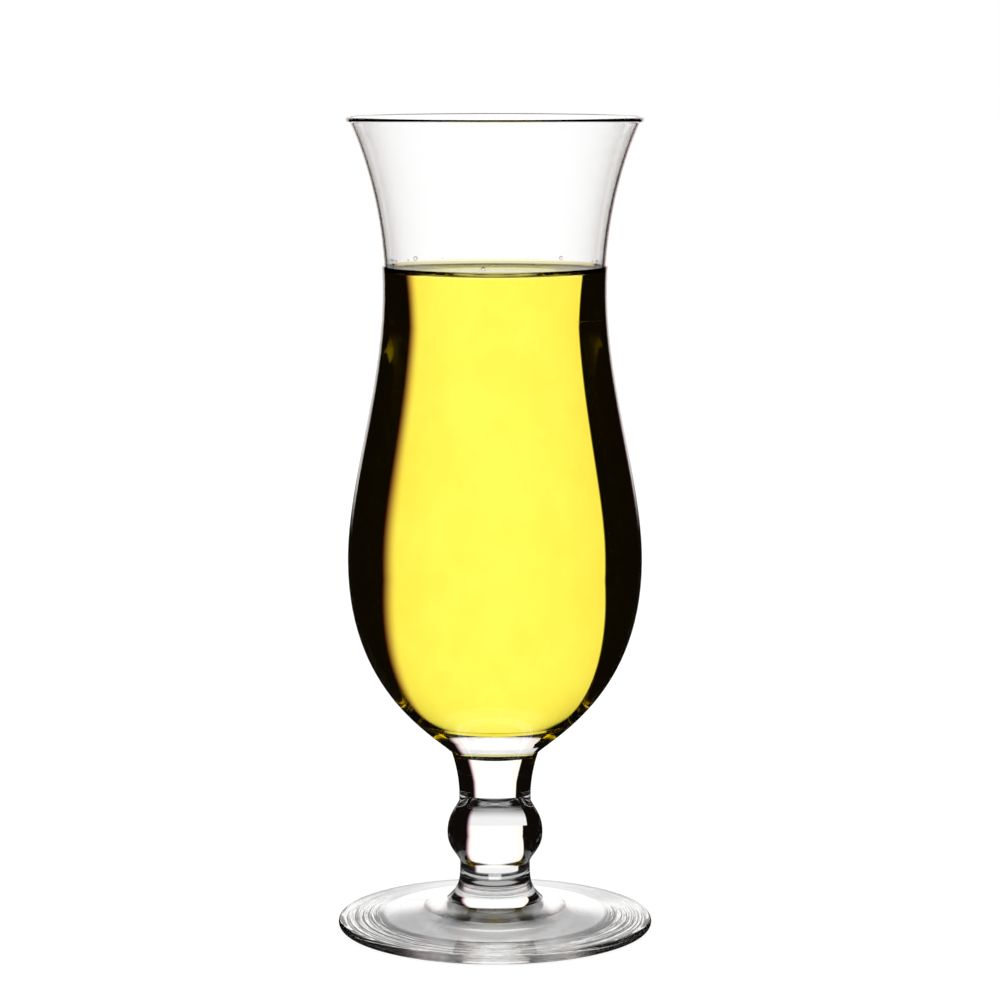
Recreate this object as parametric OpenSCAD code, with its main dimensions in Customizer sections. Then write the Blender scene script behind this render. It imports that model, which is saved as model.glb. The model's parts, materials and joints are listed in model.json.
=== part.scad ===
// Footed hurricane glass with its drink in it.
// Everything is turned about the upright axis. The origin is the centre of the foot's resting ring.

/* [Bowl] */
// Height of the bowl, from its seat on the stem to the top of the rim
bowl_h = 160.4; // [150:0.1:190]
// Width across the outside of the rim
rim_d = 74; // [66:0.5:86]
// Lean of the wall at the rim, in degrees from upright
rim_lean = 26; // [18:1:34]
// Width of the bowl at its waist
waist_d = 56; // [48:0.5:62]
// Height of the waist above the bowl's seat
waist_up = 117.4; // [95:0.1:130]
// Width of the bowl at its belly
belly_d = 74; // [66:0.5:84]
// Height of the belly above the bowl's seat
belly_up = 49.4; // [40:0.1:60]
// Width of the bowl's seat on the stem
seat_d = 21.2; // [16:0.1:26]
// Lean of the wall at the seat, in degrees from upright
seat_lean = 44; // [34:1:54]
// Thickness of the wall, and of the round rim
wall_t = 1.4; // [1:0.1:2.2]
// Thickness of the heavy glass bottom under the edge of its floor
bottom_t = 9.8; // [7:0.1:11]
// Width of the floor inside the bowl
floor_d = 35.6; // [28:0.1:37]
// Rise of the floor's middle above its edge
floor_rise = 1.6; // [0.4:0.1:4]

/* [Drink] */
// Depth of the empty glass above the drink
headspace = 36.8; // [15:0.1:90]

/* [Neck] */
// Height of the neck between the bowl and the knop
neck_h = 12.3; // [8:0.1:24]
// Width of the neck under the bowl, where it ends in a small sharp edge
neck_top_d = 21.8; // [18:0.1:28]
// Lean of the neck under the bowl, in degrees from upright
neck_lean = 18; // [8:1:30]
// Width of the neck where it meets the knop
neck_d = 18.2; // [14:0.1:22]

/* [Knop] */
// Height of the knop, the ball in the stem
knop_h = 15.5; // [11:0.1:22]
// Width of the knop
knop_d = 24.2; // [22.5:0.1:34]
// Height of the knop's widest ring above its lower crease
knop_up = 7.4; // [5:0.1:10]
// Lean of the knop's side at each crease, in degrees from upright
knop_lean = 25; // [15:1:40]

/* [Ankle] */
// Height of the ankle between the knop and the foot
ankle_h = 9.8; // [7:0.1:16]
// Width of the ankle where it meets the knop
ankle_d = 17.7; // [14:0.1:22]
// Width of the skirt that the ankle spreads to on the foot
skirt_d = 24.4; // [22.5:0.1:28]
// Lean of the skirt where it meets the foot, in degrees from upright
skirt_lean = 48; // [30:1:60]

/* [Foot] */
// Width across the foot
foot_d = 79.7; // [66:0.1:92]
// Height of the foot's centre, under the skirt
foot_h = 7; // [6:0.1:9]
// Width of the low domed collar that the skirt stands on
collar_d = 36.4; // [31:0.1:44]
// Height of the foot's top where the collar meets it
collar_foot_h = 5; // [4.2:0.1:5.8]
// Lean of the collar's side where it meets the foot, in degrees from upright
collar_lean = 56; // [45:1:70]
// Thickness of the foot's round edge
edge_t = 2.4; // [1.8:0.1:3]
// Inner width of the flat ring that the glass rests on
rest_inner_d = 58; // [46:1:64]
// Rise of the hollow under the foot
hollow_h = 3.5; // [0.5:0.1:4]

/* [Hidden] */

// How far each curve holds its end direction, as a share of the curve's height or width
rim_pull_share = 0.14;
waist_top_pull_share = 0.49;
waist_low_pull_share = 0.35;
belly_top_pull_share = 0.29;
belly_low_pull_share = 0.68;
seat_pull_share = 0.14;
corner_pull_share = 0.85;
floor_pull_share = 0.67;
neck_top_pull_share = 0.58;
neck_low_pull_share = 0.06;
knop_crease_pull_share = 0.33;
knop_wide_pull_share = 0.5;
ankle_pull_share = 0.52;
skirt_pull_share = 0.45;
collar_top_pull_share = 0.4;
collar_side_pull_share = 0.3;
hollow_pull_share = 0.5;

// Where the inner wall leaves the outer one to turn in to the floor, as a share of the belly's curve
floor_from_share = 0.67;

// Places up the axis
ankle_z = foot_h;
knop_z = ankle_z + ankle_h;
neck_z = knop_z + knop_h;
bowl_z = neck_z + neck_h;

// Steps along each curve and round the end of a wall, and facets round a turned body
curve_steps = 20;
end_steps = 8;
turn_steps = 128;

glass_colour = [0.86, 0.93, 0.95, 0.45];
drink_colour = [0.99, 0.93, 0.18, 0.8];

// A curve is two end points with a pull point after the first and before the last
function on_curve(c, t) =
    c[0]*pow(1 - t, 3) + 3*c[1]*t*pow(1 - t, 2) + 3*c[2]*t*t*(1 - t) + c[3]*pow(t, 3);
function along(c, t) =
    3*((c[1] - c[0])*pow(1 - t, 2) + 2*(c[2] - c[1])*t*(1 - t) + (c[3] - c[2])*t*t);
function unit(v) = v/norm(v);
// The way out of a wall that is followed downwards
function outward(v) = unit([-v.y, v.x]);
// Directions that go down, spreading from the axis or closing on it
function down_out(lean) = [sin(lean), -cos(lean)];
function down_in(lean) = [-sin(lean), -cos(lean)];
function points_on(c) = [for (i = [0:curve_steps]) on_curve(c, i/curve_steps)];
// The same curve moved in by a wall's thickness, as far as a share of it
function inside(c, t, to_share = 1) =
    [for (i = [0:curve_steps])
        let (s = to_share*i/curve_steps) on_curve(c, s) - t*outward(along(c, s))];
function round_end(centre, r, from, to) =
    [for (i = [1:end_steps - 1])
        let (a = from + (to - from)*i/end_steps) centre + r*[cos(a), sin(a)]];
// The part of a path, followed downwards, that lies under a level
function under(path, level) =
    let (last = len(path) - 1)
    [for (i = [0:last])
        each concat(
            i > 0 && path[i].y < level && path[i - 1].y >= level
                ? [path[i - 1] + (path[i] - path[i - 1])*(path[i - 1].y - level)/(path[i - 1].y - path[i].y)]
                : [],
            path[i].y < level ? [path[i]] : [])];

// The bowl's outside, downwards in three curves, measured from its seat
lip_r = wall_t/2;
lip = [rim_d/2 - lip_r, bowl_h - lip_r];
rim_edge = lip + lip_r*outward(down_in(rim_lean));
waist = [waist_d/2, waist_up];
belly = [belly_d/2, belly_up];
seat = [seat_d/2, 0];
rim_drop = rim_edge.y - waist.y;
waist_drop = waist.y - belly.y;
flare_curve = [
    rim_edge,
    rim_edge + rim_pull_share*rim_drop*down_in(rim_lean),
    waist + [0, waist_top_pull_share*rim_drop],
    waist];
waist_curve = [
    waist,
    waist - [0, waist_low_pull_share*waist_drop],
    belly + [0, belly_top_pull_share*waist_drop],
    belly];
belly_curve = [
    belly,
    belly - [0, belly_low_pull_share*belly_up],
    seat - seat_pull_share*belly_up*down_in(seat_lean),
    seat];

// The bowl's inside keeps the wall's thickness, then turns a tight corner onto a floor raised in its middle
wall_way = unit(along(belly_curve, floor_from_share));
wall_end = on_curve(belly_curve, floor_from_share) - wall_t*outward(wall_way);
corner_point = wall_end + wall_way*(wall_end.y - bottom_t)/-wall_way.y;
floor_edge = [floor_d/2, bottom_t];
corner_curve = [
    wall_end,
    wall_end + corner_pull_share*(corner_point - wall_end),
    floor_edge + corner_pull_share*(corner_point - floor_edge),
    floor_edge];
floor_top = [0, bottom_t + floor_rise];
floor_point = [floor_edge.x/2, floor_top.y];
floor_curve = [
    floor_edge,
    floor_edge + floor_pull_share*(floor_point - floor_edge),
    floor_top + floor_pull_share*(floor_point - floor_top),
    floor_top];
inner_wall = concat(
    inside(flare_curve, wall_t),
    inside(waist_curve, wall_t),
    inside(belly_curve, wall_t, floor_from_share),
    points_on(corner_curve),
    points_on(floor_curve));

module turned(outline, colour) {
    color(colour) rotate_extrude($fn = turn_steps) polygon(outline);
}

module bowl() {
    outer_wall = concat(points_on(flare_curve), points_on(waist_curve), points_on(belly_curve));
    rim_end = round_end(lip, lip_r, 180 - rim_lean, -rim_lean);
    translate([0, 0, bowl_z])
        turned(concat(rim_end, outer_wall, [[0, 0]],
            [for (i = [len(inner_wall) - 1:-1:0]) inner_wall[i]]), glass_colour);
}

module drink() {
    level = bowl_h - headspace;
    translate([0, 0, bowl_z])
        turned(concat([[0, level]], under(inner_wall, level)), drink_colour);
}

module neck() {
    top = [neck_top_d/2, neck_h];
    low = [neck_d/2, 0];
    side = [
        top,
        top + neck_top_pull_share*neck_h*down_in(neck_lean),
        low + [0, neck_low_pull_share*neck_h],
        low];
    translate([0, 0, neck_z])
        turned(concat([[0, neck_h]], points_on(side), [[0, 0]]), glass_colour);
}

module knop() {
    top = [neck_d/2, knop_h];
    wide = [knop_d/2, knop_up];
    low = [ankle_d/2, 0];
    over = knop_h - knop_up;
    upper_side = [
        top,
        top + knop_crease_pull_share*over*down_out(knop_lean),
        wide + [0, knop_wide_pull_share*over],
        wide];
    lower_side = [
        wide,
        wide - [0, knop_wide_pull_share*knop_up],
        low - knop_crease_pull_share*knop_up*down_in(knop_lean),
        low];
    translate([0, 0, knop_z])
        turned(concat([[0, knop_h]], points_on(upper_side), points_on(lower_side), [[0, 0]]),
            glass_colour);
}

module ankle() {
    top = [ankle_d/2, ankle_h];
    low = [skirt_d/2, 0];
    side = [
        top,
        top - [0, ankle_pull_share*ankle_h],
        low - skirt_pull_share*ankle_h*down_out(skirt_lean),
        low];
    translate([0, 0, ankle_z])
        turned(concat([[0, ankle_h]], points_on(side), [[0, 0]]), glass_colour);
}

module foot() {
    skirt = [skirt_d/2, foot_h];
    collar = [collar_d/2, collar_foot_h];
    edge_r = edge_t/2;
    edge = [foot_d/2 - edge_r, edge_r];
    across = collar.x - skirt.x;
    collar_curve = [
        skirt,
        skirt + collar_top_pull_share*across*unit([across, collar.y - skirt.y]),
        collar - collar_side_pull_share*across*down_out(collar_lean),
        collar];
    rest = [rest_inner_d/2, 0];
    hollow_curve = [
        rest,
        rest + hollow_pull_share*rest.x*unit([-rest.x, hollow_h]),
        [hollow_pull_share*rest.x, hollow_h],
        [0, hollow_h]];
    turned(concat([[0, foot_h]], points_on(collar_curve),
        [[edge.x, edge_t]], round_end(edge, edge_r, 90, -90), [[edge.x, 0]],
        points_on(hollow_curve)), glass_colour);
}

bowl();
neck();
knop();
ankle();
foot();
drink();
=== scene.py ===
import json
import math

import bpy
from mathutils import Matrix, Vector

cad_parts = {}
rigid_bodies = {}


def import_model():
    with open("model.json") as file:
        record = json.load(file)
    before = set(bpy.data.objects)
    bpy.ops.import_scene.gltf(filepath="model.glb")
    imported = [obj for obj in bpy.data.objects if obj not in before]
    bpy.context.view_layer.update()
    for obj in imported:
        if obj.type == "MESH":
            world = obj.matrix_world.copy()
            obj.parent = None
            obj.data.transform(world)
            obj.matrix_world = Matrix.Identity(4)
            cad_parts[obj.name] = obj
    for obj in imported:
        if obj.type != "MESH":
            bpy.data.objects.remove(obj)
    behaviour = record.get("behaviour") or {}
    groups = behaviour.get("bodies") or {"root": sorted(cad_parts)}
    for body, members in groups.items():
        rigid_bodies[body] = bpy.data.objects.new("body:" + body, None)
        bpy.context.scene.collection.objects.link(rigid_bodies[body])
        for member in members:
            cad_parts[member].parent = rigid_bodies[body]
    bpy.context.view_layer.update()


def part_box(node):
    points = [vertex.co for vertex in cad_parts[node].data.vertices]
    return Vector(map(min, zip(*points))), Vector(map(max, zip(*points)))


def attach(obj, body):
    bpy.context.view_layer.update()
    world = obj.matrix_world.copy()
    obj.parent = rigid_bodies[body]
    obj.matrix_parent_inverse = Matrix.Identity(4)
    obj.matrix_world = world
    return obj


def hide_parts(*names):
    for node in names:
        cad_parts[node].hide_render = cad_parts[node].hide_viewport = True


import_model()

MM = 0.001

# Places and widths that the solid pieces already hold
BOWL_LOW, BOWL_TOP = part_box("bowl")
NECK_LOW, NECK_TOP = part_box("neck")
KNOP_LOW, KNOP_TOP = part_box("knop")
ANKLE_LOW, ANKLE_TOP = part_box("ankle")
FOOT_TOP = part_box("foot")[1]
DRINK_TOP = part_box("drink")[1]

# Bowl
RIM_R = BOWL_TOP[0]
RIM_LEAN = math.radians(26)
WAIST_R, WAIST_UP = 28 * MM, 117.4 * MM
BELLY_R, BELLY_UP = 37 * MM, 49.4 * MM
SEAT_R = 10.6 * MM
SEAT_LEAN = math.radians(44)
WALL = 1.4 * MM
BOTTOM = 9.8 * MM
FLOOR_R = 17.8 * MM
FLOOR_RISE = 1.6 * MM
# Where the inner wall leaves the outer one to turn in to the floor, as a share of the belly's curve
FLOOR_FROM = 0.67
# How far each curve holds its end direction, as a share of the curve's height or width
RIM_PULL, WAIST_TOP_PULL, WAIST_LOW_PULL = 0.14, 0.49, 0.35
BELLY_TOP_PULL, BELLY_LOW_PULL, SEAT_PULL = 0.29, 0.68, 0.14
CORNER_PULL, FLOOR_PULL = 0.85, 0.67

# Stem
NECK_TOP_R = NECK_TOP[0]
NECK_LEAN = math.radians(18)
NECK_R = 9.1 * MM
KNOP_R = KNOP_TOP[0]
KNOP_UP = 7.4 * MM
KNOP_LEAN = math.radians(25)
ANKLE_R = 8.85 * MM
SKIRT_R = ANKLE_TOP[0]
SKIRT_LEAN = math.radians(48)
NECK_TOP_PULL, NECK_LOW_PULL = 0.58, 0.06
KNOP_CREASE_PULL, KNOP_WIDE_PULL = 0.33, 0.5
ANKLE_PULL, SKIRT_PULL = 0.52, 0.45

# Foot
FOOT_R = FOOT_TOP[0]
COLLAR_R, COLLAR_FOOT_H = 18.2 * MM, 5.0 * MM
COLLAR_LEAN = math.radians(56)
EDGE_T = 2.4 * MM
REST_R = 29 * MM
HOLLOW_H = 3.5 * MM
# The hollow is smooth from its middle out to here, and ground from here on
GROUND_R = 9 * MM
COLLAR_TOP_PULL, COLLAR_SIDE_PULL, HOLLOW_PULL = 0.4, 0.3, 0.5

# Drink: a hair's breadth inside the wall, with its edge drawn up the glass
DRINK_GAP = 0.02 * MM
MENISCUS_H = 1.6 * MM
MENISCUS_W = 1.3 * MM
MENISCUS_REACH = 6 * MENISCUS_W
WET_LINE = DRINK_TOP[2]
LEVEL = WET_LINE - MENISCUS_H

# Drops on the dry wall: their gap from it, and the height over the drink that they all lie under
DROP_GAP = 0.08 * MM
DROPS_UP = 3 * MM
# For each drop: degrees from the back towards the right, height over the drink, radius
DROPS = ((-84, 0.9 * MM, 0.45 * MM), (-74, 0.5 * MM, 0.3 * MM), (-58, 0.4 * MM, 0.25 * MM),
         (-52, 0.7 * MM, 0.55 * MM), (-31, 0.3 * MM, 0.2 * MM), (19, 0.3 * MM, 0.2 * MM),
         (41, 0.6 * MM, 0.5 * MM), (72, 0.4 * MM, 0.3 * MM), (81, 0.6 * MM, 0.4 * MM),
         (186, 0.9 * MM, 0.5 * MM))

# Steps round a turned piece, along a curve, and round the end of a wall
TURN_STEPS = 192
CURVE_STEPS = 30
END_STEPS = 12

# A crease sharper than this stays sharp when a piece is smoothed
SHARP = math.radians(30)
# Points closer than the first are merged, and heights closer than the second are the same
MERGED = 0.002 * MM
SAME = 0.001 * MM
# Tests of which way a face looks: straight up or down, downwards, and not away from the axis
LEVEL_FACE, FACING_DOWN, NOT_OUT = 0.999, -0.9, 0.001


# Outlines: a point is (out from the axis, up), and a curve is two ends with a pull point by each

def on_curve(c, t):
    u = 1 - t
    return c[0] * u**3 + 3 * c[1] * t * u**2 + 3 * c[2] * t**2 * u + c[3] * t**3


def along(c, t):
    u = 1 - t
    return ((c[1] - c[0]) * u**2 + 2 * (c[2] - c[1]) * t * u + (c[3] - c[2]) * t**2).normalized()


def outward(way):
    return Vector((-way.y, way.x))


def down_in(lean):
    return Vector((-math.sin(lean), -math.cos(lean)))


def down_out(lean):
    return Vector((math.sin(lean), -math.cos(lean)))


def points_on(c, upto=1.0, gap=0.0):
    """Points down a curve, moved in from it by a gap."""
    steps = [upto * i / CURVE_STEPS for i in range(CURVE_STEPS + 1)]
    return [on_curve(c, t) - gap * outward(along(c, t)) for t in steps]


def round_end(centre, r, start, stop):
    angles = [start + (stop - start) * i / END_STEPS for i in range(END_STEPS + 1)]
    return [centre + r * Vector((math.cos(a), math.sin(a))) for a in angles]


def bowl_curves():
    lip = Vector((RIM_R - WALL / 2, BOWL_TOP[2] - WALL / 2))
    rim = lip + WALL / 2 * outward(down_in(RIM_LEAN))
    seat_z = BOWL_LOW[2]
    waist = Vector((WAIST_R, seat_z + WAIST_UP))
    belly = Vector((BELLY_R, seat_z + BELLY_UP))
    seat = Vector((SEAT_R, seat_z))
    up = Vector((0, 1))
    rim_drop, waist_drop, belly_drop = rim.y - waist.y, waist.y - belly.y, belly.y - seat.y
    flare = (rim, rim + RIM_PULL * rim_drop * down_in(RIM_LEAN),
             waist + WAIST_TOP_PULL * rim_drop * up, waist)
    middle = (waist, waist - WAIST_LOW_PULL * waist_drop * up,
              belly + BELLY_TOP_PULL * waist_drop * up, belly)
    base = (belly, belly - BELLY_LOW_PULL * belly_drop * up,
            seat - SEAT_PULL * belly_drop * down_in(SEAT_LEAN), seat)
    return lip, flare, middle, base


def inner_wall(gap=WALL):
    """The bowl's inside, from the rim down to the middle of its floor."""
    flare, middle, base = bowl_curves()[1:]
    way = along(base, FLOOR_FROM)
    floor_z = BOWL_LOW[2] + BOTTOM + gap - WALL
    edge = on_curve(base, FLOOR_FROM) - gap * outward(way)
    turn = edge + way * (edge.y - floor_z) / -way.y
    floor_edge = Vector((FLOOR_R, floor_z))
    corner = (edge, edge + CORNER_PULL * (turn - edge),
              floor_edge + CORNER_PULL * (turn - floor_edge), floor_edge)
    crown = Vector((0, floor_z + FLOOR_RISE))
    pull = Vector((FLOOR_R / 2, crown.y))
    floor = (floor_edge, floor_edge + FLOOR_PULL * (pull - floor_edge),
             crown + FLOOR_PULL * (pull - crown), crown)
    return (points_on(flare, 1, gap) + points_on(middle, 1, gap)[1:] + points_on(base, FLOOR_FROM, gap)[1:]
            + points_on(corner)[1:] + points_on(floor)[1:])


def split_at(path, z):
    """Adds a point where the path passes a height, so that a wet line can start there."""
    for i, (a, b) in enumerate(zip(path, path[1:])):
        if a.y > z > b.y:
            return path[:i + 1] + [a + (b - a) * (a.y - z) / (a.y - b.y)] + path[i + 1:]
    return path


def bowl_path():
    lip, flare, middle, base = bowl_curves()
    wall = points_on(flare) + points_on(middle)[1:] + points_on(base)[1:]
    end = round_end(lip, WALL / 2, math.pi - RIM_LEAN, -RIM_LEAN)
    axis = [Vector((0, BOWL_LOW[2]))]
    return list(reversed(split_at(inner_wall(), WET_LINE)))[:-1] + end[:-1] + wall + axis


def neck_path():
    top, low = Vector((NECK_TOP_R, NECK_TOP[2])), Vector((NECK_R, NECK_LOW[2]))
    h = top.y - low.y
    side = (top, top + NECK_TOP_PULL * h * down_in(NECK_LEAN), low + Vector((0, NECK_LOW_PULL * h)), low)
    return [Vector((0, top.y))] + points_on(side) + [Vector((0, low.y))]


def knop_path():
    top, low = Vector((NECK_R, KNOP_TOP[2])), Vector((ANKLE_R, KNOP_LOW[2]))
    wide = Vector((KNOP_R, low.y + KNOP_UP))
    over, below = top.y - wide.y, wide.y - low.y
    upper = (top, top + KNOP_CREASE_PULL * over * down_out(KNOP_LEAN),
             wide + Vector((0, KNOP_WIDE_PULL * over)), wide)
    lower = (wide, wide - Vector((0, KNOP_WIDE_PULL * below)),
             low - KNOP_CREASE_PULL * below * down_in(KNOP_LEAN), low)
    return [Vector((0, top.y))] + points_on(upper) + points_on(lower)[1:] + [Vector((0, low.y))]


def ankle_path():
    top, low = Vector((ANKLE_R, ANKLE_TOP[2])), Vector((SKIRT_R, ANKLE_LOW[2]))
    h = top.y - low.y
    side = (top, top - Vector((0, ANKLE_PULL * h)), low - SKIRT_PULL * h * down_out(SKIRT_LEAN), low)
    return [Vector((0, top.y))] + points_on(side) + [Vector((0, low.y))]


def foot_path():
    skirt, collar = Vector((SKIRT_R, FOOT_TOP[2])), Vector((COLLAR_R, COLLAR_FOOT_H))
    across = collar.x - skirt.x
    side = (skirt, skirt + COLLAR_TOP_PULL * across * (collar - skirt).normalized(),
            collar - COLLAR_SIDE_PULL * across * down_out(COLLAR_LEAN), collar)
    edge = Vector((FOOT_R - EDGE_T / 2, EDGE_T / 2))
    rest = Vector((REST_R, 0))
    hollow = (rest, rest + HOLLOW_PULL * REST_R * Vector((-REST_R, HOLLOW_H)).normalized(),
              Vector((HOLLOW_PULL * REST_R, HOLLOW_H)), Vector((0, HOLLOW_H)))
    return ([Vector((0, skirt.y))] + points_on(side)
            + round_end(edge, EDGE_T / 2, math.pi / 2, -math.pi / 2) + points_on(hollow))


def drink_path():
    """The level top with its drawn-up edge, then the wall and the floor."""
    wall = split_at(split_at(inner_wall(WALL + DRINK_GAP), WET_LINE), LEVEL)
    wet = [p for p in wall if p.y <= WET_LINE + SAME]
    away = [MENISCUS_REACH * (1 - i / CURVE_STEPS)**2 for i in range(CURVE_STEPS)]
    surface = [Vector((wet[0].x - s, LEVEL + MENISCUS_H * math.exp(-s / MENISCUS_W))) for s in away]
    return [Vector((0, LEVEL))] + surface + wet


WALL_LINE = inner_wall()


def wall_at(z):
    """How far the bowl's inside is from the axis at a height."""
    return next(p.x for p in WALL_LINE if p.y < z)


# Making the pieces

def deselect_all():
    bpy.ops.object.select_all(action="DESELECT")


def lathe(name, path):
    """Draws half an outline by pulling a point along it, and spins it into a closed piece."""
    deselect_all()
    bpy.ops.mesh.primitive_plane_add(size=MM, location=(path[0].x, 0, path[0].y))
    piece = bpy.context.object
    piece.name = piece.data.name = name
    bpy.ops.object.transform_apply(location=True, rotation=True, scale=True)
    bpy.ops.object.mode_set(mode="EDIT")
    bpy.ops.mesh.select_mode(type="VERT")
    bpy.ops.mesh.select_all(action="SELECT")
    bpy.ops.mesh.merge(type="CENTER")
    for a, b in zip(path, path[1:]):
        step = (b.x - a.x, 0, b.y - a.y)
        bpy.ops.mesh.extrude_vertices_move(TRANSFORM_OT_translate={"value": step})
    bpy.ops.mesh.select_all(action="SELECT")
    bpy.ops.mesh.spin(steps=TURN_STEPS, angle=2 * math.pi, center=(0, 0, 0), axis=(0, 0, 1))
    bpy.ops.mesh.select_all(action="SELECT")
    bpy.ops.mesh.remove_doubles(threshold=MERGED)
    bpy.ops.mesh.select_all(action="SELECT")
    bpy.ops.mesh.normals_make_consistent(inside=False)
    bpy.ops.object.mode_set(mode="OBJECT")
    bpy.ops.object.shade_smooth_by_angle(angle=SHARP)
    return piece


def add_drops(piece):
    """Small drops that cling to the dry glass over the drink's edge."""
    deselect_all()
    for turn, height, size in DROPS:
        z = WET_LINE + height
        r = wall_at(z) - size - DROP_GAP
        place = (r * math.sin(math.radians(turn)), r * math.cos(math.radians(turn)), z)
        bpy.ops.mesh.primitive_ico_sphere_add(subdivisions=3, radius=size, location=place)
        bpy.ops.object.shade_smooth()
        bpy.context.object.name = "drop"
    deselect_all()
    for thing in bpy.data.objects:
        thing.select_set(thing.name.startswith("drop"))
    piece.select_set(True)
    bpy.context.view_layer.objects.active = piece
    bpy.ops.object.join()
    return piece


def on_a_drop(face):
    """Picks the drops, which stand inside the dry wall just over the drink."""
    z, r = face.center.z, math.hypot(face.center.x, face.center.y)
    if not WET_LINE < z < WET_LINE + DROPS_UP:
        return False
    return r < wall_at(z) - DROP_GAP / 2


def facing_out(face):
    """How far a face looks away from the upright axis."""
    across = Vector((face.center.x, face.center.y, 0))
    return face.normal.dot(across.normalized()) if across.length > SAME else 0.0


def at_height(*heights):
    """Picks the level faces where one gather is fused to the next."""
    return lambda face: abs(face.normal.z) > LEVEL_FACE and any(
        abs(face.center.z - z) < SAME for z in heights)


def wet_inside(face):
    """Picks the bowl's inside where the drink touches it."""
    on_floor = face.normal.z > 0 and face.center.z < BOWL_LOW[2] + BELLY_UP
    return face.center.z < WET_LINE and (facing_out(face) < 0 or on_floor)


def on_the_wall(face):
    """Picks the drink's sides and underside, which lie on the glass."""
    return not (face.normal.z > 0 and facing_out(face) < NOT_OUT)


def on_the_edge(face):
    """Picks the drink's drawn-up edge, where it is thin, on the glass."""
    return face.center.z > LEVEL and on_the_wall(face)


def under_the_foot(face):
    """Picks the ground hollow and ring under the foot, but not the smooth middle of the hollow."""
    return face.normal.z < FACING_DOWN and math.hypot(face.center.x, face.center.y) > GROUND_R


def finish_piece(piece, node, material, others=()):
    """Gives a piece its material, with another one where a test picks the faces."""
    piece.data.materials.append(material)
    for i, (other, picks) in enumerate(others):
        piece.data.materials.append(other)
        for face in piece.data.polygons:
            if picks(face):
                face.material_index = i + 1
    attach(piece, "root")
    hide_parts(node)
    return piece


# Materials

# How much glass and drink bend light, and the faint tints of a shadow through them
GLASS_IOR, DRINK_IOR = 1.52, 1.34
CLEAR_TINT, DRINK_TINT = (0.97, 0.975, 0.97, 1), (0.99, 0.97, 0.6, 1)
WHITE = (1, 1, 1, 1)
# The drink's body, its cloudy places, its level top and its drawn-up edge
DRINK_COLOUR, CLOUDY_COLOUR = (1.0, 0.92, 0.1, 1), (0.99, 0.87, 0.083, 1)
TOP_COLOUR, EDGE_COLOUR = (1.0, 0.95, 0.7, 1), (1.0, 0.95, 0.6, 1)
# How often each pattern repeats in a millimetre in X, Y and Z, and how much fine detail it has
RING_GRAIN, WAVE_GRAIN = ((0.03, 0.03, 1.6), 3.0), ((0.05, 0.05, 0.09), 1.0)
SMEAR_GRAIN, SCRATCH_GRAIN = ((0.09, 0.09, 0.05), 4.0), ((0.16, 0.16, 4.5), 2.0)
CLOUD_GRAIN = ((0.13, 0.13, 0.08), 4.0)
# The noise at which a pattern starts to show, and at which it shows in full
SMEAR_SHOWS, SCRATCH_SHOWS, CLOUD_SHOWS = (0.5, 0.75), (0.70, 0.80), (0.35, 0.65)
# Waviness of the glass: its depth, and the shares of fine rings and slow waves
WAVE_DEPTH, RING_WEIGHT, WAVE_WEIGHT = 0.002 * MM, 0.35, 0.65
# Marks of handling on the outside and the dry inside, as roughness
SMEAR, SCRATCH = 0.01, 0.2
# Under the foot the hollow is ground dull, and the ring that it rests on is worn bright between strokes
GROUND_COLOUR, GROUND_TINT = (0.98, 0.985, 0.98, 1), (0.9, 0.9, 0.9, 1)
HOLLOW_ROUGH, RING_ROUGH = 0.16, (0.0, 0.12)
STROKE_EDGE, STROKE_DEPTH = (0.42, 0.58), 0.8 * MM
FINENESS, LENGTH, STROKE_DETAIL = 0.8, 1.0, 3.0
RING_SOFT = 2 * MM
# Keeps a point on the axis from a division by nothing
TINY = 1e-4
# Where a Mix node keeps its factor, its two colours and the colour that it gives
MIX_FACTOR, MIX_A, MIX_B, MIX_RESULT = 0, 6, 7, 2


def new_material(name):
    material = bpy.data.materials.new(name)
    material.use_nodes = True
    material.node_tree.nodes.clear()
    return material, material.node_tree.nodes, material.node_tree.links


def new_group(name, inputs, outputs):
    """A shader group whose inputs and outputs are named numbers. Each use gives the inputs."""
    group = bpy.data.node_groups.new(name, "ShaderNodeTree")
    for label in inputs:
        socket = group.interface.new_socket(name=label, in_out="INPUT", socket_type="NodeSocketFloat")
        socket.default_value = 1.0
    for label in outputs:
        group.interface.new_socket(name=label, in_out="OUTPUT", socket_type="NodeSocketFloat")
    return group, group.nodes.new("NodeGroupInput"), group.nodes.new("NodeGroupOutput")


def set_or_link(tree, socket, value):
    if isinstance(value, (int, float)):
        socket.default_value = value
    else:
        tree.links.new(value, socket)


def maths(tree, op, *values):
    node = tree.nodes.new("ShaderNodeMath")
    node.operation = op
    for socket, value in zip(node.inputs, values):
        set_or_link(tree, socket, value)
    return node.outputs[0]


def times(tree, first, *others):
    """The product of its values."""
    for value in others:
        first = maths(tree, "MULTIPLY", first, value)
    return first


def opposite(tree, share):
    return maths(tree, "SUBTRACT", 1.0, share)


def map_range(tree, value, low, high, new_low=0.0, new_high=1.0):
    """Goes smoothly from one value to another between two limits."""
    node = tree.nodes.new("ShaderNodeMapRange")
    node.interpolation_type = "SMOOTHSTEP"
    for label, v in (("Value", value), ("From Min", low), ("From Max", high),
                     ("To Min", new_low), ("To Max", new_high)):
        set_or_link(tree, node.inputs[label], v)
    return node.outputs["Result"]


def soft_step(tree, value, edge, soft, full=1.0):
    """Rises from 0 over a soft edge, or falls to 0 where the softness is negative."""
    return map_range(tree, value, edge - soft, edge + soft, 0.0, full)


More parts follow.
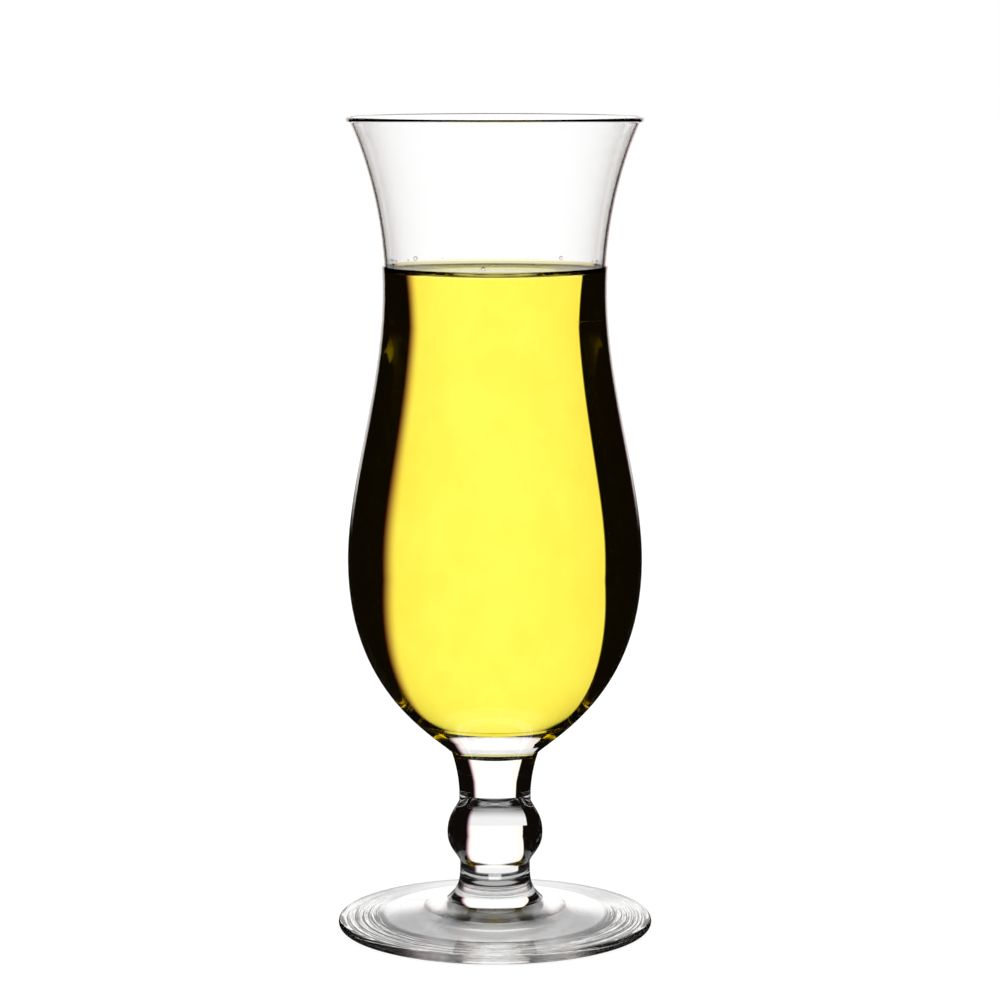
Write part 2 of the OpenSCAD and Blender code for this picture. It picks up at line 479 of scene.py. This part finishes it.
def object_point(tree, scale):
    """Object coordinates in millimetres, stretched by a Mapping node."""
    coords = tree.nodes.new("ShaderNodeTexCoord")
    mapping = tree.nodes.new("ShaderNodeMapping")
    mapping.inputs["Scale"].default_value = [s / MM for s in scale]
    tree.links.new(coords.outputs["Object"], mapping.inputs["Vector"])
    return mapping.outputs["Vector"]


def noise(tree, vector, detail):
    node = tree.nodes.new("ShaderNodeTexNoise")
    node.inputs["Scale"].default_value = 1.0
    node.inputs["Detail"].default_value = detail
    tree.links.new(vector, node.inputs["Vector"])
    return node.outputs["Fac"]


def pattern(tree, grain):
    """Noise that is stretched over a piece."""
    scale, detail = grain
    return noise(tree, object_point(tree, scale), detail)


def make_draw_lines():
    """Faint level rings from blowing and turning, over a slow waviness of the wall."""
    group, inside, out = new_group("draw_lines", ("Ring Weight", "Wave Weight"), ("Height",))
    total = maths(group, "ADD", times(group, pattern(group, RING_GRAIN), inside.outputs["Ring Weight"]),
                  times(group, pattern(group, WAVE_GRAIN), inside.outputs["Wave Weight"]))
    group.links.new(total, out.inputs["Height"])
    return group


def make_handling():
    """Dull smears and thin level scratches left by washing and polishing, as a roughness."""
    group, inside, out = new_group("handling", ("Smear", "Scratch"), ("Roughness",))
    patches = map_range(group, pattern(group, SMEAR_GRAIN), *SMEAR_SHOWS)
    thin = map_range(group, pattern(group, SCRATCH_GRAIN), *SCRATCH_SHOWS)
    total = maths(group, "ADD", times(group, patches, inside.outputs["Smear"]),
                  times(group, thin, inside.outputs["Scratch"]))
    group.links.new(total, out.inputs["Roughness"])
    return group


def make_grinding():
    """Strokes that run round the axis, as a wheel leaves them, and where the resting ring is."""
    group, inside, out = new_group("grinding", ("Fineness", "Length"), ("Strokes", "Ring"))
    split = group.nodes.new("ShaderNodeSeparateXYZ")
    group.links.new(object_point(group, (1, 1, 1)), split.inputs[0])
    x, y = split.outputs["X"], split.outputs["Y"]
    r = maths(group, "SQRT", maths(group, "ADD", times(group, x, x),
                                   maths(group, "ADD", times(group, y, y), TINY)))
    turn_x = times(group, maths(group, "DIVIDE", x, r), inside.outputs["Length"])
    turn_y = times(group, maths(group, "DIVIDE", y, r), inside.outputs["Length"])
    across = times(group, r, inside.outputs["Fineness"])
    join = group.nodes.new("ShaderNodeCombineXYZ")
    for socket, value in zip(join.inputs, (turn_x, turn_y, across)):
        group.links.new(value, socket)
    group.links.new(noise(group, join.outputs[0], STROKE_DETAIL), out.inputs["Strokes"])
    ring = soft_step(group, r, REST_R / MM, RING_SOFT / MM)
    group.links.new(ring, out.inputs["Ring"])
    return group


def make_haze():
    """Slow, faint cloudiness: 0 where the drink is clear, and up to 1 where it is thicker."""
    group, inside, out = new_group("haze", ("Amount",), ("Haze",))
    clouds = map_range(group, pattern(group, CLOUD_GRAIN), *CLOUD_SHOWS)
    haze = times(group, clouds, inside.outputs["Amount"])
    group.links.new(haze, out.inputs["Haze"])
    return group


def use_group(nodes, group, **values):
    node = nodes.new("ShaderNodeGroup")
    node.node_tree = group
    for label, value in values.items():
        node.inputs[label.replace("_", " ")].default_value = value
    return node


def shade_through(nodes, links, body, tint):
    """A clear body lets light through, so its shadow is only a light tint."""
    out = nodes.new("ShaderNodeOutputMaterial")
    light_path = nodes.new("ShaderNodeLightPath")
    clear = nodes.new("ShaderNodeBsdfTransparent")
    clear.inputs["Color"].default_value = tint
    mix = nodes.new("ShaderNodeMixShader")
    links.new(light_path.outputs["Is Shadow Ray"], mix.inputs[0])
    links.new(body.outputs["BSDF"], mix.inputs[1])
    links.new(clear.outputs["BSDF"], mix.inputs[2])
    links.new(mix.outputs[0], out.inputs["Surface"])


def clear_body(nodes, colour, ior):
    body = nodes.new("ShaderNodeBsdfPrincipled")
    body.inputs["Base Color"].default_value = colour
    body.inputs["Roughness"].default_value = 0.0
    body.inputs["IOR"].default_value = ior
    body.inputs["Transmission Weight"].default_value = 1.0
    return body


def bump_by(nodes, links, body, height, depth):
    """Lifts and sinks the surface by a height that changes over it."""
    bump = nodes.new("ShaderNodeBump")
    bump.inputs["Strength"].default_value = 1.0
    bump.inputs["Distance"].default_value = depth
    links.new(height, bump.inputs["Height"])
    links.new(bump.outputs["Normal"], body.inputs["Normal"])


def see_through(name, colour, ior, tint, wavy=False, rubbed=False, cloudy=None):
    """Clear glass or liquid: glass is slightly wavy and faintly marked by handling, and the drink
    turns here and there to its cloudy colour."""
    material, nodes, links = new_material(name)
    body = clear_body(nodes, colour, ior)
    if wavy:
        lines = use_group(nodes, draw_lines, Ring_Weight=RING_WEIGHT, Wave_Weight=WAVE_WEIGHT)
        bump_by(nodes, links, body, lines.outputs["Height"], WAVE_DEPTH)
    if rubbed:
        marks = use_group(nodes, handling, Smear=SMEAR, Scratch=SCRATCH)
        links.new(marks.outputs["Roughness"], body.inputs["Roughness"])
    if cloudy:
        mix = nodes.new("ShaderNodeMix")
        mix.data_type = "RGBA"
        mix.inputs[MIX_A].default_value = colour
        mix.inputs[MIX_B].default_value = cloudy
        links.new(use_group(nodes, haze, Amount=1.0).outputs["Haze"], mix.inputs[MIX_FACTOR])
        links.new(mix.outputs[MIX_RESULT], body.inputs["Base Color"])
    shade_through(nodes, links, body, tint)
    return material


def ground_glass():
    """Under the foot: ground fine in the hollow, and with turned strokes on the ring."""
    material, nodes, links = new_material("ground_ring")
    tree = material.node_tree
    body = clear_body(nodes, GROUND_COLOUR, GLASS_IOR)
    ground = use_group(nodes, grinding, Fineness=FINENESS, Length=LENGTH)
    strokes, ring = ground.outputs["Strokes"], ground.outputs["Ring"]
    worn = map_range(tree, strokes, *STROKE_EDGE, *RING_ROUGH)
    worn = times(tree, maths(tree, "SUBTRACT", worn, HOLLOW_ROUGH), ring)
    links.new(maths(tree, "ADD", worn, HOLLOW_ROUGH), body.inputs["Roughness"])
    bump_by(nodes, links, body, times(tree, strokes, ring), STROKE_DEPTH)
    shade_through(nodes, links, body, GROUND_TINT)
    return material


def fused_seam():
    """The face where two gathers were joined hot: nothing shows there."""
    material, nodes, links = new_material("fused_seam")
    out = nodes.new("ShaderNodeOutputMaterial")
    clear = nodes.new("ShaderNodeBsdfTransparent")
    links.new(clear.outputs["BSDF"], out.inputs["Surface"])
    return material


# The stage: camera, white table, and a dark booth with a lit window behind the glass

# The camera's place and tilt, fitted to the ellipses of the rim and the foot, and its lens in millimetres
CAM_BACK, CAM_SIDE, CAM_UP = 0.856, 0.00127, 0.2247
CAM_PITCH = math.radians(7.683)
CAM_LENS, CAM_FILM, CAM_FAR = 123.8, 36, 50


def make_camera():
    deselect_all()
    bpy.ops.object.camera_add(location=(CAM_SIDE, -CAM_BACK, CAM_UP),
                              rotation=(math.pi / 2 - CAM_PITCH, 0, 0))
    camera = bpy.context.object
    camera.data.lens = CAM_LENS
    camera.data.sensor_width = CAM_FILM
    camera.data.clip_end = CAM_FAR
    bpy.context.scene.camera = camera
    return camera


# Strength of the white room where it is seen through the glass or mirrored in it
SEEN_THROUGH = 1.2


def make_world():
    """A white room. Seen through the glass or mirrored it is a little stronger, by what the glass's
    four surfaces throw back, so that clear glass shows the white room white."""
    world = bpy.data.worlds.new("white_room")
    bpy.context.scene.world = world
    world.use_nodes = True
    tree = world.node_tree
    tree.nodes.clear()
    out = tree.nodes.new("ShaderNodeOutputWorld")
    back = tree.nodes.new("ShaderNodeBackground")
    light_path = tree.nodes.new("ShaderNodeLightPath")
    back.inputs["Color"].default_value = WHITE
    shiny = maths(tree, "MAXIMUM", light_path.outputs["Is Glossy Ray"],
                  light_path.outputs["Is Transmission Ray"])
    strength = maths(tree, "ADD", times(tree, shiny, SEEN_THROUGH - 1), 1.0)
    tree.links.new(strength, back.inputs["Strength"])
    tree.links.new(back.outputs["Background"], out.inputs["Surface"])


# The booth, whose angles are from its middle: to the right of straight behind the glass, and up
BOOTH_R, BOOTH_AHEAD = 1.0, 0.86
CLOTH_COLOUR = (0.004, 0.003, 0.002, 1)
# The backdrop's edges and top, how soft they are, and how much wider it gets with height
WINDOW_LEFT, WINDOW_RIGHT, CEILING = math.radians(-25.2), math.radians(23.5), math.radians(42)
SOFT_LEFT, SOFT_RIGHT, SOFT_UP = math.radians(0.4), math.radians(3), math.radians(5)
SPREAD_UP = 0.75
# For red, green and blue: how much darker the backdrop is at its sides, and its right edge's shift
EDGE_FALL, EDGE_SHIFT = (0.04, 0.14, 0.23), (0.0, 0.14, 0.05)
# The strip of table, painted as light in the booth where the table would be seen through the glass: its
# left side, its near end, its far end where the backdrop starts, and its light
TABLE_LEFT, TABLE_NEAR, TABLE_END = math.radians(-31), math.radians(-25), math.radians(-11)
SOFT_NEAR, SOFT_END = math.radians(8), math.radians(0.5)
TABLE_LIGHT = 0.8
# The dim patch underneath
UNDER_TOP, UNDER_LIGHT = math.radians(-60), 0.4
# Mirrored, the backdrop shows from the first to the second of these: up, or in to the middle
MIRROR_UP = (0.0, math.radians(4))
MIRROR_IN = (math.radians(9), math.radians(6))


def booth_angles(tree):
    """A place's angle to the right, made narrower with height, and its angle up."""
    coords = tree.nodes.new("ShaderNodeTexCoord")
    split = tree.nodes.new("ShaderNodeSeparateXYZ")
    tree.links.new(coords.outputs["Object"], split.inputs[0])
    side = maths(tree, "ARCTAN2", split.outputs["X"], split.outputs["Y"])
    level = maths(tree, "ARCSINE", maths(tree, "DIVIDE", split.outputs["Z"], BOOTH_R))
    spread = maths(tree, "MULTIPLY_ADD", maths(tree, "MAXIMUM", level, 0.0), SPREAD_UP, 1.0)
    return maths(tree, "DIVIDE", side, spread), level


def booth_light(tree, side, level):
    """How much of the white room a place of the booth lets in, for red, green and blue."""
    light_path = tree.nodes.new("ShaderNodeLightPath")
    mirrored = maths(tree, "MAXIMUM", 0.0, maths(
        tree, "SUBTRACT", light_path.outputs["Is Glossy Ray"], light_path.outputs["Is Transmission Ray"]))
    straight = opposite(tree, mirrored)
    off_middle = maths(tree, "ABSOLUTE", side)
    shown = maths(tree, "MAXIMUM", straight, maths(
        tree, "MAXIMUM", map_range(tree, off_middle, *MIRROR_IN), map_range(tree, level, *MIRROR_UP)))
    backdrop = times(tree, soft_step(tree, level, TABLE_END, SOFT_END),
                     soft_step(tree, level, CEILING, -SOFT_UP), shown)
    strip = times(tree, soft_step(tree, level, TABLE_NEAR, SOFT_NEAR, TABLE_LIGHT),
                  soft_step(tree, level, TABLE_END, -SOFT_END), straight)
    under = times(tree, soft_step(tree, level, UNDER_TOP, -SOFT_UP, UNDER_LIGHT), straight)
    backdrop_left = soft_step(tree, side, WINDOW_LEFT, SOFT_LEFT)
    strip_left = soft_step(tree, side, TABLE_LEFT, SOFT_LEFT)
    share = maths(tree, "MINIMUM", maths(tree, "DIVIDE", off_middle, -WINDOW_LEFT), 1.0)
    lights = []
    for fall, shift in zip(EDGE_FALL, EDGE_SHIFT):
        dimmed = opposite(tree, times(tree, share, share, fall))
        on_right = soft_step(tree, side, WINDOW_RIGHT - shift * SOFT_RIGHT, -SOFT_RIGHT)
        light = maths(tree, "ADD", times(tree, backdrop_left, dimmed, backdrop),
                      times(tree, strip_left, strip))
        lights.append(maths(tree, "ADD", times(tree, light, on_right), under))
    return lights


def glowing(nodes, colour):
    glow = nodes.new("ShaderNodeEmission")
    glow.inputs["Color"].default_value = colour
    return glow


def put_out_both(nodes, links, first, second):
    """The surface gives the light of two shaders added up."""
    out = nodes.new("ShaderNodeOutputMaterial")
    add = nodes.new("ShaderNodeAddShader")
    links.new(first.outputs[0], add.inputs[0])
    links.new(second.outputs[0], add.inputs[1])
    links.new(add.outputs[0], out.inputs["Surface"])


def make_booth(camera):
    """Black cloth all round, which lets in the white room in a backdrop behind the glass, in a
    dimmer strip of table before it and underneath. It is parented to the camera, so that it stays
    on the far side of the glass. Mirrored, only the backdrop shows, and low down only its middle,
    so that the glass keeps its dark edges."""
    deselect_all()
    bpy.ops.mesh.primitive_uv_sphere_add(segments=64, ring_count=32, radius=BOOTH_R)
    booth = bpy.context.object
    booth.name = "booth"
    booth.parent = camera
    booth.location = (0, 0, -BOOTH_AHEAD)
    booth.rotation_euler = (-math.pi / 2, 0, 0)
    booth.visible_camera = booth.visible_diffuse = booth.visible_shadow = False
    material, nodes, links = new_material("booth_cloth")
    tree = material.node_tree
    colour = nodes.new("ShaderNodeCombineColor")
    for light, socket in zip(booth_light(tree, *booth_angles(tree)), colour.inputs):
        links.new(light, socket)
    clear = nodes.new("ShaderNodeBsdfTransparent")
    links.new(colour.outputs[0], clear.inputs["Color"])
    put_out_both(nodes, links, glowing(nodes, CLOTH_COLOUR), clear)
    booth.data.materials.append(material)


# The table, eight metres out to its edge, and a hair's breadth under the foot
TABLE_R, TABLE_Z = 8, -0.02 * MM
TABLE_GLOW, TABLE_GREY = (0.86, 0.86, 0.86, 1), (0.2, 0.2, 0.2, 1)


def make_table():
    """White table. Most of its white is its own, and the rest takes the glass's soft shadow."""
    deselect_all()
    bpy.ops.mesh.primitive_circle_add(vertices=128, radius=TABLE_R, fill_type="NGON",
                                      location=(0, 0, TABLE_Z))
    table = bpy.context.object
    table.name = "table"
    table.visible_transmission = table.visible_glossy = False
    material, nodes, links = new_material("white_table")
    lit = nodes.new("ShaderNodeBsdfDiffuse")
    lit.inputs["Color"].default_value = TABLE_GREY
    put_out_both(nodes, links, glowing(nodes, TABLE_GLOW), lit)
    table.data.materials.append(material)


# A glowing ring between the table and the foot: painted light, which lights nothing and shows only in the
# glass
GLOW_RING_INNER, GLOW_RING_OUTER, GLOW_RING_Z = 20 * MM, 28 * MM, -0.01 * MM
GLOW_RING_LIGHT = (0.93, 0.94, 0.96, 1)


def make_glow_ring():
    """A ring under the foot that glows white: painted light, seen only through the glass or mirrored in
    it.
    """
    deselect_all()
    bpy.ops.mesh.primitive_circle_add(vertices=128, radius=GLOW_RING_OUTER, location=(0, 0, GLOW_RING_Z))
    glow_ring = bpy.context.object
    glow_ring.name = "glow_ring"
    bpy.ops.object.mode_set(mode="EDIT")
    bpy.ops.mesh.select_all(action="SELECT")
    bpy.ops.mesh.extrude_edges_move()
    bpy.ops.transform.resize(value=(GLOW_RING_INNER / GLOW_RING_OUTER, GLOW_RING_INNER / GLOW_RING_OUTER, 1))
    bpy.ops.object.mode_set(mode="OBJECT")
    glow_ring.visible_camera = glow_ring.visible_diffuse = glow_ring.visible_shadow = False
    material, nodes, links = new_material("painted_light_ring")
    out = nodes.new("ShaderNodeOutputMaterial")
    # The ring's white is its own glow, painted light that shows in the foot
    links.new(glowing(nodes, GLOW_RING_LIGHT).outputs[0], out.inputs["Surface"])
    glow_ring.data.materials.append(material)


camera = make_camera()
make_world()
make_glow_ring()
make_booth(camera)
make_table()

draw_lines = make_draw_lines()
handling = make_handling()
grinding = make_grinding()
haze = make_haze()

glass = see_through("clear_glass", WHITE, GLASS_IOR, CLEAR_TINT, wavy=True, rubbed=True)
wet_glass = see_through("wet_glass", WHITE, GLASS_IOR / DRINK_IOR, CLEAR_TINT, wavy=True)
ground = ground_glass()
seam = fused_seam()
drop = see_through("drop", WHITE, DRINK_IOR, CLEAR_TINT)
drink_top = see_through("yellow_drink", TOP_COLOUR, DRINK_IOR, DRINK_TINT)
# The wall and the drink touch, so the bend from glass to drink is the wet glass's, and these bend nothing
drink_side = see_through("drink_on_glass", DRINK_COLOUR, 1.0, DRINK_TINT, cloudy=CLOUDY_COLOUR)
drink_edge = see_through("drink_edge", EDGE_COLOUR, 1.0, DRINK_TINT)

finish_piece(add_drops(lathe("glass_bowl", bowl_path())), "bowl", glass,
             ((seam, at_height(BOWL_LOW[2])), (wet_glass, wet_inside), (drop, on_a_drop)))
finish_piece(lathe("glass_neck", neck_path()), "neck", glass,
             ((seam, at_height(NECK_LOW[2], NECK_TOP[2])),))
finish_piece(lathe("glass_knop", knop_path()), "knop", glass,
             ((seam, at_height(KNOP_LOW[2], KNOP_TOP[2])),))
finish_piece(lathe("glass_ankle", ankle_path()), "ankle", glass,
             ((seam, at_height(ANKLE_LOW[2], ANKLE_TOP[2])),))
finish_piece(lathe("glass_foot", foot_path()), "foot", glass,
             ((seam, at_height(FOOT_TOP[2])), (ground, under_the_foot)))
finish_piece(lathe("drink_body", drink_path()), "drink", drink_top,
             ((drink_side, on_the_wall), (drink_edge, on_the_edge)))

# How many surfaces light is followed through, and how many times it is mirrored
THROUGH_BOUNCES, MIRROR_BOUNCES = 40, 12

scene = bpy.context.scene
scene.view_settings.view_transform = "Standard"
scene.cycles.max_bounces = scene.cycles.transmission_bounces = THROUGH_BOUNCES
scene.cycles.transparent_max_bounces = THROUGH_BOUNCES
scene.cycles.glossy_bounces = MIRROR_BOUNCES
